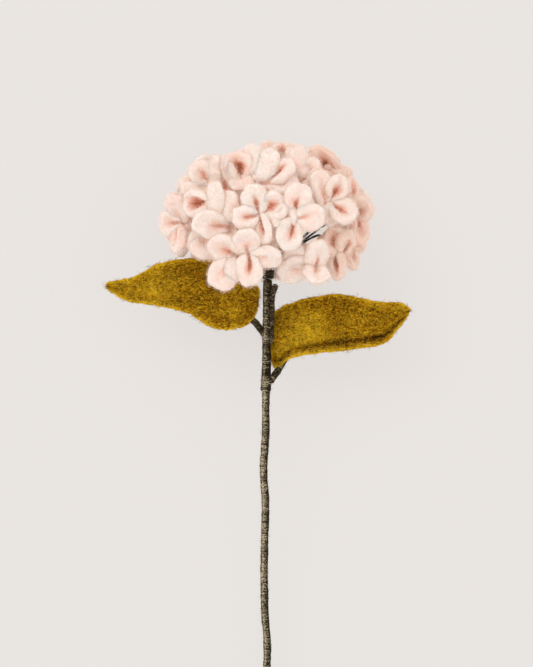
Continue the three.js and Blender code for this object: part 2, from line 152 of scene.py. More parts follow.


# %% [markdown]
# ## From arrays to a piece
#
# Blender takes whole arrays through `foreach_set`, which is far quicker than one vertex at a time.
# Each piece rides on the model's one body, and the construction nodes that it stands for are hidden.


# %% Write a mesh and parent the piece
def add_piece(name, parts, material, stands_for=()):
    """Makes one object of the shapes, smooth-shaded, at the origin, parents it to the root body and hides
    the nodes that it stands for.
    """
    whole = merged(parts)
    points, quads, triangles = whole["points"], whole["quads"], whole["triangles"]
    mesh = bpy.data.meshes.new(name)
    mesh.vertices.add(len(points))
    mesh.vertices.foreach_set("co", points.astype(np.float32).ravel())
    corners = np.concatenate([quads.ravel(), triangles.ravel()])
    starts = np.concatenate([
        4 * np.arange(len(quads)),
        4 * len(quads) + 3 * np.arange(len(triangles)),
    ])
    mesh.loops.add(len(corners))
    mesh.loops.foreach_set("vertex_index", corners.astype(np.int32))
    mesh.polygons.add(len(starts))
    mesh.polygons.foreach_set("loop_start", starts.astype(np.int32))
    mesh.update(calc_edges=True)
    mesh.shade_smooth()
    for key, values in whole["shades"].items():
        mesh.attributes.new(key, "FLOAT", "POINT").data.foreach_set("value", values.astype(np.float32))
    mesh.materials.append(material)
    piece = bpy.data.objects.new(name, mesh)
    bpy.context.collection.objects.link(piece)
    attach(piece, "root")
    if stands_for:
        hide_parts(*stands_for)
    return piece


# %% [markdown]
# ## Shader maths as Python
#
# A finish is mostly arithmetic on patterns: so much of this noise, less of that crease. A small class
# wraps a node's output and overloads the arithmetic signs, so that `crease * 0.6 + noise` adds the
# Math nodes by itself. Colours are blended by Mix nodes, because a Math node would turn them grey.


# %% Wrap sockets and nodes
class Level:
    """A number that varies over a surface. Arithmetic on it adds Math nodes."""

    def __init__(self, finish, socket):
        self.finish, self.socket = finish, socket

    def maths(self, operation, first, second):
        settings = {"operation": operation}
        return self.finish.node("ShaderNodeMath", settings, {0: first, 1: second})

    def __add__(self, other):
        return self.maths("ADD", self, other)

    def __sub__(self, other):
        return self.maths("SUBTRACT", self, other)

    def __mul__(self, other):
        return self.maths("MULTIPLY", self, other)

    def __rsub__(self, other):
        return self.maths("SUBTRACT", other, self)

    __radd__ = __add__
    __rmul__ = __mul__


class Finish:
    """A material whose nodes are written as calls. constants are set on the Principled shader itself."""

    def __init__(self, name, **constants):
        self.material = bpy.data.materials.new(name)
        self.material.use_nodes = True
        self.tree = self.material.node_tree
        self.shader = self.tree.nodes["Principled BSDF"]
        for key, value in constants.items():
            self.shader.inputs[key.replace("_", " ")].default_value = value
        self.place = self.node("ShaderNodeTexCoord", output="Object")

    def node(self, kind, settings=None, sockets=None, output=0):
        """A new node: its settings first, then its sockets' values or links."""
        made = self.tree.nodes.new(kind)
        for key, value in (settings or {}).items():
            setattr(made, key, value)
        for key, value in (sockets or {}).items():
            self.put(made.inputs[key], value)
        return Level(self, made.outputs[output])

    def put(self, socket, value):
        if isinstance(value, Level):
            self.tree.links.new(value.socket, socket)
        else:
            socket.default_value = value

    def noise(self, scale, detail=3, distortion=0.0, stretch=(1, 1, 1)):
        """Soft random clouds, scale of them to a metre, stretched along the axes by a Mapping node."""
        place = self.node("ShaderNodeMapping", None, {"Vector": self.place, "Scale": stretch})
        sockets = {"Vector": place, "Scale": scale, "Detail": detail, "Distortion": distortion}
        return self.node("ShaderNodeTexNoise", None, sockets)

    def shade(self, name):
        """The number that the piece's mesh holds at each point under that name."""
        return self.node("ShaderNodeAttribute", {"attribute_name": name}, output="Fac")

    def between(self, level, low, high):
        """0 where the level is at low, 1 at high, smooth in between."""
        settings = {"interpolation_type": "SMOOTHSTEP"}
        return self.node("ShaderNodeMapRange", settings, {0: level, 1: low, 2: high})

    def mix(self, share, first, second):
        """The first colour where share is 0, the second where it is 1."""
        paint = [value if isinstance(value, Level) else (*value, 1) for value in (first, second)]
        settings = {"data_type": "RGBA"}
        return self.node("ShaderNodeMix", settings, {0: share, 6: paint[0], 7: paint[1]}, output=2)

    def wear(self, colour, height=None, depth=0.0, strength=1.0):
        """Puts the colour and a bump of that depth in metres on the shader, and returns the material."""
        self.put(self.shader.inputs["Base Color"], colour)
        if height is not None:
            sockets = {"Height": height, "Distance": depth, "Strength": strength}
            bump = self.node("ShaderNodeBump", None, sockets)
            self.put(self.shader.inputs["Normal"], bump)
        return self.material


def paint(red, green, blue):
    """An sRGB colour from 0 to 255 as the linear one that the shader takes."""
    share = np.array([red, green, blue]) / 255
    curved = ((share + 0.055) / 1.055) ** 2.4
    return tuple(np.where(share <= 0.04045, share / 12.92, curved).tolist())


print("a middle grey is", round(paint(128, 128, 128)[0], 3), "to the shader")


# %% [markdown]
# ## Camera, floor and light
#
# The flower lies on its back, so the camera looks down on it, square to the standing flower's front.
# A long lens keeps the head's depth from swelling in the picture. The lamps are wide and soft, as in
# a bright room, and most of the light is the pale surroundings themselves, so shadows stay faint.

# %% Set the camera
PHOTO = {"wide": 533, "high": 667, "mm_per_pixel": 0.52, "knot": (268, 274)}
DISTANCE = 1600
middle_x = (PHOTO["wide"] / 2 - PHOTO["knot"][0]) * PHOTO["mm_per_pixel"]
middle_z = (PHOTO["knot"][1] - PHOTO["high"] / 2) * PHOTO["mm_per_pixel"]
eye = laid(np.array([middle_x, -DISTANCE, middle_z]))
lens = bpy.data.cameras.new("camera")
lens.sensor_width = 36
lens.lens = lens.sensor_width * DISTANCE / (PHOTO["high"] * PHOTO["mm_per_pixel"])
lens.clip_start, lens.clip_end = 0.05, 50
camera = bpy.data.objects.new("camera", lens)
right, up, back = TURN @ [1, 0, 0], TURN @ [0, 0, 1], TURN @ [0, -1, 0]
turned = Matrix(np.stack([right, up, back], axis=1).tolist()).to_4x4()
camera.matrix_world = Matrix.Translation(eye) @ turned
bpy.context.collection.objects.link(camera)
bpy.context.scene.camera = camera
bpy.context.scene.view_settings.view_transform = "Standard"
print("lens", round(lens.lens), "mm at", DISTANCE / 1000, "m")

# %% Lay the floor and hang the lamps
floor_mesh = bpy.data.meshes.new("floor")
REACH = 6.0
corners = [(x * REACH, y * REACH, 0) for x, y in ((-1, -1), (1, -1), (1, 1), (-1, 1))]
floor_mesh.from_pydata(corners, [], [(0, 1, 2, 3)])
floor = bpy.data.objects.new("floor", floor_mesh)
bpy.context.collection.objects.link(floor)
GLOW = 0.79
backdrop = Finish(
    "backdrop",
    Roughness=1.0,
    Specular_IOR_Level=0.0,
    Emission_Color=(*paint(235, 231, 228), 1),
    Emission_Strength=GLOW,
)
wash = backdrop.noise(1.2, detail=1)
pale = backdrop.mix(wash, paint(104, 101, 99), paint(102, 101, 99))
floor_mesh.materials.append(backdrop.wear(pale))


def add_lamp(name, size, power, spot, colour):
    """A square lamp of that size in metres, aimed from its spot at the head."""
    lamp = bpy.data.lights.new(name, "AREA")
    lamp.size, lamp.energy, lamp.color = size, power, colour
    holder = bpy.data.objects.new(name, lamp)
    holder.location = spot
    holder.rotation_euler = (Vector(spot) - Vector(KNOT)).to_track_quat("Z", "Y").to_euler()
    bpy.context.collection.objects.link(holder)
    print("lamp:", name, power, "W")


add_lamp("key", 1.6, 13.5, (-1.2, 1.0, 2.2), (0.98, 0.985, 0.975))
add_lamp("fill", 2.2, 4, (1.4, -0.4, 2.4), (1, 0.98, 0.97))
world = bpy.data.worlds.new("room")
world.use_nodes = True
sky = world.node_tree.nodes["Background"].inputs
sky["Color"].default_value = (1, 0.985, 0.97, 1)
sky["Strength"].default_value = 1.03
bpy.context.scene.world = world

# %% [markdown]
# ## Wool and thread as fibres
#
# Felt looks soft because loose fibres stand off its surface and catch the light. They could be
# Blender hair, but hair isn't a mesh and wouldn't leave with the model. Here each fibre is a thin
# bent needle of a few faces, and thousands of them are worked out together: a start, a direction
# and a sideways bow give its middle line, and a triangle round that line gives its surface.


# %% Grow fibres from a surface
def unit(vectors):
    return vectors / np.maximum(np.linalg.norm(vectors, axis=-1, keepdims=True), 1e-12)


def normals_and_areas(body):
    """At each point, the cross products of the faces that meet there, summed: their direction is the
    outward one, and their length is the area round the point."""
    points = body["points"]
    split = all_triangles(body["quads"], body["triangles"]).T
    a, b, c = (points[corner] for corner in split)
    sums = np.zeros_like(points)
    for corner in split:
        np.add.at(sums, corner, np.cross(b - a, c - a))
    return unit(sums), np.linalg.norm(sums, axis=-1)


def fibres(starts, ways, leans, lengths, thickness, bow, steps, **shades):
    """Thin needles. The middle line is start + way * length * t + bow * t * (1 - t) * 4, with t from 0
    to 1, and three points round it at each step taper to nothing at both ends. The bow is square to
    the lean."""
    count = len(starts)
    t = np.linspace(0, 1, steps + 2)[None, :, None]
    sideways = unit(np.cross(ways, leans))
    bend = sideways * (bow * lengths)[:, None]
    line = starts[:, None] + ways[:, None] * lengths[:, None, None] * t + bend[:, None] * 4 * t * (1 - t)
    across = np.cross(ways, sideways)
    angles = np.arange(3) * 2 * np.pi / 3
    spokes = np.cos(angles)[:, None] * sideways[:, None] + np.sin(angles)[:, None] * across[:, None]
    width = thickness / 2 * np.linspace(1, 0.6, steps)[None, :, None, None]
    rings = line[:, 1:-1, None] + spokes[:, None] * width
    points = np.concatenate([rings.reshape(count, -1, 3), line[:, :1], line[:, -1:]], axis=1)
    stride = 3 * steps + 2
    quads = copies(ring_faces(steps, 3), count, stride)
    triangles = copies(pole_faces(steps, 3), count, stride)
    shades = {key: np.repeat(values, stride) for key, values in shades.items()}
    return shape(points.reshape(-1, 3), quads, triangles, **shades)


SOFTNESS = 0.3 * MM
ROOT_DEPTH = 0.1 * MM
KIND_WORDS = ("count", "length", "thickness", "stand", "pressed", "bow", "steps", "tone", "inland")


def fibre_kinds(*rows):
    """Kinds of fibre. Each row gives how many, the least and greatest length in millimetres, the
    thickness, and then what coat says of the rest."""
    return [dict(zip(KIND_WORDS, row)) for row in rows]


def pressed(points):
    """Points at or below the floor lie flat on it: the height becomes the mean of itself and its size,
    softened."""
    high = points[:, 2]
    lifted = 0.5 * (high + np.sqrt(high**2 + SOFTNESS**2))
    return np.column_stack([points[:, :2], lifted])


def coat(body, kind, count, rng, weight=1.0, grain=(1, 1, 1)):
    """Loose fibres on a body, rooted at random by area times weight. Each lies along the surface in a
    random direction, which grain favours by axis, and rises off it by a share between the two of its
    kind's stand. The more a kind is pressed, the more its bow lies in the surface. Each has its root's
    shades and its own fibre tone, whose middle and spread the kind gives."""
    normals, areas = normals_and_areas(body)
    chance = areas * weight
    roots = rng.choice(len(areas), count, p=chance / chance.sum())
    lie = rng.normal(size=(count, 3)) * grain
    lie = unit(lie - normals[roots] * (lie * normals[roots]).sum(axis=1, keepdims=True))
    ways = unit(lie + normals[roots] * rng.uniform(*kind["stand"], (count, 1)))
    leans = rng.normal(size=(count, 3))
    leans = leans + kind["pressed"] * rng.choice([-1, 1], (count, 1)) * normals[roots]
    lengths = MM * rng.uniform(*kind["length"], count)
    starts = body["points"][roots] - ROOT_DEPTH * normals[roots]
    shades = {key: values[roots] for key, values in body["shades"].items()}
    shades["fibre"] = rng.normal(*kind["tone"], count)
    width = kind["thickness"] * MM
    fuzz = fibres(starts, ways, leans, lengths, width, kind["bow"], kind["steps"], **shades)
    return {**fuzz, "points": pressed(fuzz["points"])}


def lumps(points, size, seed, waves=20):
    """A smooth random height, mostly from -1 to 1: the sum of waves of about that length, each in a
    random direction and with a random start."""
    rng = np.random.default_rng(seed)
    ways = unit(rng.normal(size=(waves, 3))) * (2 * np.pi / size) * rng.uniform(0.6, 1.5, (waves, 1))
    heights = np.sin(points @ ways.T + rng.uniform(0, 2 * np.pi, waves))
    return heights.sum(axis=-1) / np.sqrt(waves)


print("a kind of fibre is given by", *KIND_WORDS)


# %% [markdown]
# ## Smooth lines through points
#
# The stem, the leaf edges and the floret stalks all follow a few given points. A Catmull-Rom line
# passes through every one of them, where a Bezier would only be pulled towards its handles.


# %% Draw a smooth line
def smooth_line(points, share):
    """Points on the Catmull-Rom line, with share from 0 to 1 along it: in each stretch, a cubic whose
    slope at each end is half the step between that point's two neighbours."""
    points = np.asarray(points, float)
    before, after = 2 * points[0] - points[1], 2 * points[-1] - points[-2]
    padded = np.concatenate([[before], points, [after]])
    place = np.clip(share, 0, 1) * (len(points) - 1)
    first = np.minimum(place.astype(int), len(points) - 2)
    s = (place - first)[:, None]
    a, b, c, d = (padded[first + i] for i in range(4))
    square, cube = 2 * a - 5 * b + 4 * c - d, 3 * b - a - 3 * c + d
    return 0.5 * (2 * b + (c - a) * s + square * s**2 + cube * s**3)


arch = smooth_line([(0, 0), (1, 1), (2, 1), (3, 0)], np.array([0.5]))
print("an arch through 0, 1, 1 and 0 is", round(arch[0, 1], 3), "high in the middle")


# %% [markdown]
# ## The florets
#
# Each floret is four thick rounds of soft wool, pinched together at the middle. The front ones stand
# where a maker would see them. The list gives a floret's middle, how far it stands to the front and
# how much painted shade its wool takes, from 0 to 1, the most on the head's shaded right side. Then
# it says for each petal where it starts and ends, in the standing flower's X and Z, how far its tip
# rises towards the viewer, how wide it is, how far its sides curl up, how far it is twisted about its
# own length, and how sharp the slit in its face is.
# The hidden florets stand round the back of the head's shell.

# %% Where the florets sit
HEAD = {"half": np.array([42.0, 40.0, 29.0]), "middle": np.array([-1.0, 0.0, 30.0])}
PAST_SHELL = 9

FRONT_FLORETS = [
    (-4.7, 29.6, 38, 0,
     (-5.2, 31.2, -8.8, 45, 0, 12.5, 35, 0, 1), (-6.2, 28.6, -18.5, 27, 1, 10.5, 55, 0, 0.6),
     (-3.6, 28.6, 0, 14.3, 1, 9, 50, 35, 0.9), (-2.1, 31.2, 9.1, 36.7, -2, 13, 60, 0, 0.7)),
    (13, 29.1, 38, 0,
     (14, 31.7, 16.9, 45, -1, 13.5, 35, 0, 0.75), (15.1, 28.1, 29.1, 28.6, -1, 13.5, 30, 0, 0.35),
     (12.5, 27, 8.8, 10.9, 0, 13.5, 38, 0, 1), (11.4, 24.4, 3.4, 32.2, -2, 13, 55, 0, 0.7)),
    (-9.9, 10.4, 36, 0,
     (-9.4, 11.4, -12.5, 22.6, 6, 14, 30, 0, 0.3), (-9.9, 8.8, -8.8, -6.8, -2, 13, 35, 0, 0.9),
     (-7.3, 8.8, 7.3, 8.1, 1, 11.5, 35, 0, 0.1), (-6.2, 12.5, 4.7, 17.7, -6, 9.5, 50, 0, 0.6)),
    (-17.7, 8.3, 33, 0.1,
     (-16.6, 8.8, -28.1, 18.7, 3, 14, 55, 0, 0.6), (-19.8, 6.2, -26, -8.3, -1, 14.5, 28, 0, 0.35),
     (-19.2, 5.7, -17.2, -4.2, 3, 10.5, 38, 170, 0.2), (-16.6, 10.4, -20.5, 23.7, -7, 10.5, 50, 0, 0.6)),
    (-24.4, 26.5, 33, 0.1,
     (-21.8, 23.4, -38.5, 26.5, 4, 13, 48, 0, 0.35), (-31.7, 34.8, -42.1, 36.7, -7, 11, 78, 0, 1),
     (-27.6, 27.6, -27.6, 46.8, 3, 9, 55, 165, 0.2), (-21.3, 27, -19.8, 41.9, 2, 11, 45, 168, 0.15)),
    (30.7, 36.9, 28, 0.25,
     (32.8, 34.2, 44.2, 27.5, 0, 14.5, 40, 0, 0.9), (32.2, 38.5, 38, 49.9, -1, 10.5, 55, 0, 0.9),
     (28.1, 35.9, 25, 53, 1, 11, 50, 0, 0.15), (30.7, 34.3, 33.8, 23.9, -1, 10, 50, 165, 0.2)),
    (23.4, 4.2, 28, 0.1,
     (23.9, 3.6, 25.5, 17.2, 6, 12, 32, 0, 0.3), (23.4, 4.2, 25, -6.8, 6, 12.5, 45, 0, 0.4),
     (20.8, 5.7, 4.7, 0, -2, 14, 45, 0, 0.4), (19.8, 7.3, 8.3, 11.4, 3, 12.5, 40, 0, 0.2)),
    (35.4, 12.5, 18, 0.8,
     (36.9, 13, 29.3, 22.4, 4, 13, 65, 0, 0.6), (38.5, 12, 41.1, 22.9, 3, 10.5, 45, 0, 0.8),
     (34.8, 10.4, 36.4, -2.9, -3, 8.5, 50, 40, 0.8), (35.4, 11.4, 30.2, 5.2, -6, 9, 50, 0, 0.6)),
    (45.2, 33.3, 12, 0.8,
     (43.2, 32.2, 53, 37.4, 4, 13.5, 65, 0, 0.8), (45.2, 28.6, 46.5, 15.1, 0, 9.5, 50, 0, 0.4),
     (43.7, 37.4, 41.3, 49.4, -6, 8.5, 60, 0, 0.2), (45.8, 34.8, 51, 29.6, -9, 12, 40, 0, 0.6)),
    (30.2, 54.6, 10, 0.9,
     (34.3, 53.6, 20.5, 63.2, 4, 11, 60, -45, 0.9), (27, 53.6, 21.3, 57.7, -4, 9, 60, 0, 0.6),
     (33.3, 53, 44.7, 53, -6, 5.5, 60, 165, 0.2), (28.6, 56.2, 32.8, 60.3, -8, 12, 50, 0, 0.6)),
    (16.6, 49.9, 27, 0.15,
     (19.2, 50.4, 12, 65.8, -5, 12.5, 40, 172, 0.2), (19.2, 49.9, 24.4, 58.2, -4, 8.5, 50, 0, 0.4),
     (14.6, 50.4, 8.8, 57.2, -8, 8, 50, 0, 0.6), (18.2, 47.8, 22.9, 49.9, -6, 8, 50, 0, 0.6)),
    (-2.1, 48.9, 31, 0,
     (-3.6, 49.9, -9.9, 66, -4, 11, 45, 172, 0.2), (-5.7, 47.8, 2.6, 63.2, 1, 12.5, 45, 172, 0.2),
     (1.6, 47.3, 13.5, 56.9, 0, 10, 45, 0, 0.9), (-1, 44.7, 16.1, 44.5, -1, 11.5, 42, 0, 0.1)),
    (6.8, 59.3, 14, 0.35,
     (7.3, 57.7, 4.7, 67.1, 0, 10.5, 72, 0, 0.9), (8.3, 59.3, 12, 66, -4, 8, 55, 0, 0.5),
     (4.7, 59.3, -2.1, 67.3, -6, 8, 55, 0, 0.4), (6.2, 60.3, 8.8, 63.4, -12, 11, 50, 0, 0.6)),
    (-14.6, 48.9, 28, 0.15,
     (-14, 48.4, -16.4, 61.9, 0, 12.5, 60, 0, 1), (-17.7, 45.8, -22.4, 59.8, 2, 6, 50, 165, 0.2),
     (-9.5, 51, -8, 60.3, -8, 7.5, 50, 0, 0.6), (-14, 48.9, -13.5, 41.6, 2, 12, 40, 0, 0.15)),
    (-29.1, 44.7, 21, 0.1,
     (-27.6, 44.7, -27.3, 60.6, 4, 7.5, 60, 165, 0.2), (-30.7, 46.8, -38.7, 55.6, -2, 11.5, 55, 0, 0.5),
     (-32.2, 44.7, -45, 47.1, -5, 8.5, 50, 0, 0.6), (-29.1, 42.6, -45, 42.9, 2, 8, 50, 0, 0.2)),
    (-43.7, 26.5, 14, 0.1,
     (-44.2, 28.1, -46.8, 41.1, 5, 12.5, 35, 0, 0.15), (-45.8, 26.5, -54.6, 25.5, -9, 12.5, 48, 0, 0.5),
     (-45.2, 22.9, -45.5, 10.4, 6, 10.5, 35, 0, 0.2), (-42.6, 27, -47.8, 17.7, -10, 11, 50, 0, 0.6)),
    (-31.7, 17.2, 23, 0.05,
     (-30.7, 17.7, -35.9, 7.3, 3, 13.5, 35, 0, 0.2), (-33.3, 17.7, -40.6, 14, -2, 9, 50, 0, 0.5),
     (-30.7, 16.6, -26, 8.3, -7, 10, 50, 0, 0.5), (-32.2, 18.7, -35.4, 25, -7, 9, 50, 0, 0.6)),
    (43.2, 15.6, 6, 0.8,
     (43.7, 16.6, 47.3, 25, 3, 10, 60, 0, 0.5), (42.6, 13, 42.9, 1.6, 1, 8.5, 50, 0, 0.4),
     (41.6, 15.1, 38.5, 6.2, 2, 8, 50, 0, 0.6), (44.2, 15.6, 48.9, 17.7, -8, 11, 50, 0, 0.6)),
]

# Height on the head's shell, bearing, 180 being the back, the floret's turn about its way out, and the
# share of the way out to the shell at which it stands.
BACK_FLORETS = [
    (0.02, 104, 0, 1), (0.17, 128, 40, 1), (0, 168, 35, 1), (0.02, 195, 120, 1), (0.02, 224, 160, 1),
    (0, 246, 0, 1), (0.58, 122, 0, 1), (0.64, 160, 40, 1), (0.64, 200, 80, 1), (0.58, 238, 0, 1),
    (-0.55, 113, 40, 1), (-0.5, 166, 45, 1), (-0.5, 204, 22, 1), (-0.14, 264, 30, 0.95),
    (0.86, 150, 10, 0.96), (0.84, 210, 15, 0.86), (0.5, 268, 0, 0.84), (-0.45, 240, 0, 0.88),
    (0.45, 94, 0, 0.86), (0.7, 262, 0, 0.8),
]
BACK_PETAL = {"start": 1.5, "length": 17, "width": 12.5, "lift": 26, "curl": 45, "slit": 0.6}
# The hidden florets take a little painted shade.
BACK_PAINTED_SHADE = 0.2


def shell_way(spot):
    """Square to the head's shell: away from its middle, each axis divided by its half size squared."""
    return unit((spot - HEAD["middle"]) / HEAD["half"] ** 2)


def front_floret(x, z, front, warmth, *rows):
    """A floret's middle, its way out, its painted shade, and each petal's foot, tip, width, curl, twist
    and slit. The way out leans towards the viewer."""
    spot = np.array([x, -front, z])
    out = unit(shell_way(spot) + [0, -0.8, 0])
    petals = [
        (np.array([x0, -front, z0]), np.array([x1, -front - rise, z1]), *form)
        for x0, z0, x1, z1, rise, *form in rows
    ]
    return spot, out, warmth, petals


def back_floret(spot, spin):
    """Four like petals round the way out, each turned a quarter and lifted by the same angle."""
    out = shell_way(spot)
    up_the_head = np.array([0, 0, 1.0]) if abs(out[2]) <= 0.97 else np.array([0, 1.0, 0])
    up_the_head = unit(up_the_head - out * (up_the_head @ out))
    right = np.cross(up_the_head, out)
    lift = np.radians(BACK_PETAL["lift"])
    petals = []
    for quarter in range(4):
        turn = np.radians(45 + 90 * quarter + spin)
        along = np.cos(lift) * (np.cos(turn) * right + np.sin(turn) * up_the_head) + np.sin(lift) * out
        foot = spot + BACK_PETAL["start"] * along
        tip = foot + BACK_PETAL["length"] * along
        petals.append((foot, tip, BACK_PETAL["width"], BACK_PETAL["curl"], 0, BACK_PETAL["slit"]))
    return spot, out, BACK_PAINTED_SHADE, petals


florets = [front_floret(*row) for row in FRONT_FLORETS]
for height, bearing, spin, share in BACK_FLORETS:
    bearing, level = np.radians(bearing), np.sqrt(1 - height**2)
    way = np.array([level * np.sin(bearing), -level * np.cos(bearing), height])
    florets.append(back_floret(HEAD["middle"] + share * HEAD["half"] * way, spin))
print(len(florets), "florets,", sum(len(floret[-1]) for floret in florets), "petals")

# %% [markdown]
# ## One petal
#
# A real petal is a tuft of wool felted into a thick round pad and pinched at its foot, so it curls
# and keeps a hollow or a slit in its face. Each could be sculpted by hand, but then no petal could be
# changed without starting it again. Here one function makes them all from a few numbers, and a little
# chance keeps any two from being alike.

# %% The shape of one petal
RINGS, SIDES = 28, 34
PETAL = {
    "thickness": 6.2, "fuller": 1.13, "longer": 0.99, "hollow": 3.0, "sunk": 1.8, "cupped": 1.5,
    "tip_rise": 1.6,
}
RUN = np.linspace(0, np.pi, RINGS + 2)[1:-1, None]
AROUND = np.linspace(0, 2 * np.pi, SIDES, endpoint=False)[None, :]


def smooth_step(values, low, high):
    """0 below low, 1 above high, and 3t² - 2t³ between them."""
    t = np.clip((values - low) / (high - low), 0, 1)
    return t * t * (3 - 2 * t)


def petal_grid(foot, tip, width, curl, twist, slit, out, rng):
    """A petal's points, and for each how deep in the hollow it lies from 0 to 1, which the wool paints as
    pink and as painted shade, how far aside of the hollow's middle line in millimetres, and how sharp a
    slit that line is, which the wool paints as a dark line of painted shade.

    Along the petal t runs from 0 at the foot to 1 at the tip, and the rings' size is a power of the sine
    of that run, so both ends are full and round. Round each ring the point goes across by a cosine and
    up by a sine. A hollow sinks into the face by a bell curve: narrow where the rims are pinched
    together at the foot, wider halfway, and gone before the tip. Then the whole is curled about its
    length: across becomes an angle, and up a radius, of a roll whose two rims stand the petal's width
    apart."""
    foot = foot - PETAL["sunk"] * unit(tip - foot)
    t = (1 - np.cos(RUN)) / 2
    curl = np.radians(curl * rng.uniform(0.9, 1.1))
    roll = PETAL["fuller"] * width / 2 / np.sin(min(curl, np.pi / 2)) * rng.uniform(0.97, 1.04)
    half = roll * curl
    length = PETAL["longer"] * np.linalg.norm(tip - foot)
    thick = PETAL["thickness"] / 2 * rng.uniform(0.92, 1.08)

    edge = half * (0.84 + 0.18 * t) * np.sin(RUN) ** (0.82 - 0.1 * t)
    p = length * t + 0 * AROUND
    across_share = np.sign(np.cos(AROUND)) * np.abs(np.cos(AROUND)) ** 1.25
    q = edge * across_share
    beside = np.abs(across_share)
    round_section = (1 - beside**2.4) ** 0.42
    bowl = np.clip(np.degrees(curl) - 30, 0, 50) / 50
    ends = rng.uniform(0.55, 0.7) + 0.1 * bowl + 0.1 * (slit - 0.6)
    deep = 1 - smooth_step(t, ends - 0.3, ends + 0.12)
    hollow_half = half * (0.13 + (0.2 + 0.25 * bowl) * smooth_step(t, 0.1, 0.6))
    wander = 0.08 * half * np.sin(4 * t + rng.uniform(0, 6))
    aside = q - wander
    bell = np.exp(-np.abs(aside / hollow_half) ** 2)
    on_face = smooth_step(np.sin(AROUND), 0, 0.45)
    h = thick * np.sin(RUN) ** 0.6 * round_section * np.sign(np.sin(AROUND))
    hollow = PETAL["hollow"] * (0.4 + 0.6 * slit) * (1 - 0.35 * t) * (1 + 0.3 * bowl) * bell * deep
    cup = PETAL["cupped"] * bowl * (1 - beside**2) * np.sin(RUN)
    h = h - on_face * (hollow + cup) + PETAL["tip_rise"] * t**2
    # The inner face takes some of the crease's pink and painted shade, more in a bowl.
    inside = 0.22 * (1 - beside**3) * np.sin(RUN) * (1 + bowl)
    crease = on_face * np.clip(bell * deep * (1.1 - 0.6 * t) * (0.3 + 0.7 * slit) + inside, 0, 1)
    open_part = (1 - smooth_step(t, ends - 0.25, ends + 0.05)) * smooth_step(t, 0.06, 0.2)
    line = slit * on_face * open_part

    bend = q / roll
    side = (roll - h) * np.sin(bend)
    high = roll - (roll - h) * np.cos(bend)
    poles = np.array([[0, 0, 0], [length, 0, PETAL["tip_rise"]]])
    grid = np.concatenate([np.stack([p, side, high], axis=-1).reshape(-1, 3), poles])

    along = unit(tip - foot)
    face = unit(out - along * (out @ along))
    across = np.cross(along, face)
    c, s = np.cos(np.radians(twist)), np.sin(np.radians(twist))
    axes = np.stack([along, c * across - s * face, c * face + s * across])
    shades = {"crease": (crease, 0.7), "aside": (aside, 0), "slit": (line, 0)}
    shades = {key: np.append(at.ravel(), [at_foot, 0]) for key, (at, at_foot) in shades.items()}
    return foot + grid @ axes, shades


def inside_head(points):
    """How deep in the head a point lies: its distance from the head's middle, each axis divided by the
    half size that the petals reach, taken from 1 and smoothed from 0 near the outside to 1 well
    inside. The wool paints deeper points darker and warmer as painted shade, with a faint painted glow."""
    reach = np.linalg.norm((points - HEAD["middle"]) / (HEAD["half"] + PAST_SHELL), axis=-1)
    return smooth_step(1 - reach, 0.16, 0.5)


print("a petal has", len(ring_faces(RINGS, SIDES)) + len(pole_faces(RINGS, SIDES)), "faces")


# %% [markdown]
# ## Petal wool
#
# The rims are cream and the creases a warm pink, partly the wool's own blush and partly painted
# shade, with brown painted shade deepest in the creases and a dark painted line along the slits.
# A scattering shader makes light that goes into the wool come out again a little redder. The gaps
# deep in the head are painted darker and warmer as painted shade and given a faint painted glow,
# and the loose fibres are lightened as painted light and given a faint painted glow. Fine noise
# breaks the colour and the surface up as felted wool does.

# %% Mix the petal wool
wool = Finish(
    "petal_wool",
    Roughness=0.95,
    Specular_IOR_Level=0.1,
    Sheen_Weight=0.12,
    Sheen_Roughness=0.4,
    Sheen_Tint=(1, 0.86, 0.78, 1),
    Subsurface_Weight=0.45,
    Subsurface_Radius=(1.0, 0.75, 0.62),
    Subsurface_Scale=0.0018,
    Emission_Strength=1.0,
)
crease_level = wool.shade("crease")
blush_level = wool.shade("blush")
painted_shade_level = wool.shade("warmth")
loose = wool.between(wool.shade("fibre"), 0, 1.2)
clouds = wool.noise(140, detail=2)
mat = wool.noise(420, detail=4, distortion=2.0)
strands = wool.noise(950, detail=3, distortion=1.5)
ragged = wool.shade("aside") + (mat - 0.5) * 1.6
# Painted shade: a dark line along the slit, where the pinched rims meet.
slit_shade_line = wool.between(ragged * ragged, 0.9, 0.05) * wool.shade("slit")
uneven = (clouds - 0.5) * 0.35 + (mat - 0.5) * 0.4 + blush_level * 0.06
# Pink in the creases, partly the wool's own blush and partly painted shade, and brown painted shade deepest
# in them.
pink_and_shade = wool.between(crease_level + uneven, 0.15, 0.85)
depth = wool.between(crease_level + (strands - 0.5) * 0.3 + blush_level * 0.08, 0.68, 1.15)
cream = wool.mix(wool.between(mat + strands, 0.85, 1.15), paint(239, 222, 212), paint(243, 234, 227))
tinted = wool.mix(wool.between(clouds + blush_level * 0.1, 0.45, 0.95), cream, paint(247, 216, 206))
# Painted shade: the florets on the head's shaded right side, and a little those at the back, are tinted
# darker and warmer, in their creases too.
side_shaded = wool.mix(painted_shade_level * 0.45, tinted, paint(232, 190, 164))
pink = wool.mix(painted_shade_level * 0.7, paint(243, 193, 174), paint(204, 128, 96))
brown_shade = wool.mix(painted_shade_level, paint(192, 112, 76), paint(140, 70, 38))
creased = wool.mix(depth, wool.mix(pink_and_shade, side_shaded, pink), brown_shade)
slitted = wool.mix(slit_shade_line * 0.7, creased, paint(184, 116, 88))
# Painted shade: darker and warmer deeper in the head.
deep_shaded_wool = wool.mix(wool.shade("sunk") * 0.9, slitted, paint(214, 112, 66))
# Painted light: loose fibres are lightened so that their shaded sides stay pale.
loose_wool = wool.mix(loose * 0.4, deep_shaded_wool, paint(255, 232, 216))
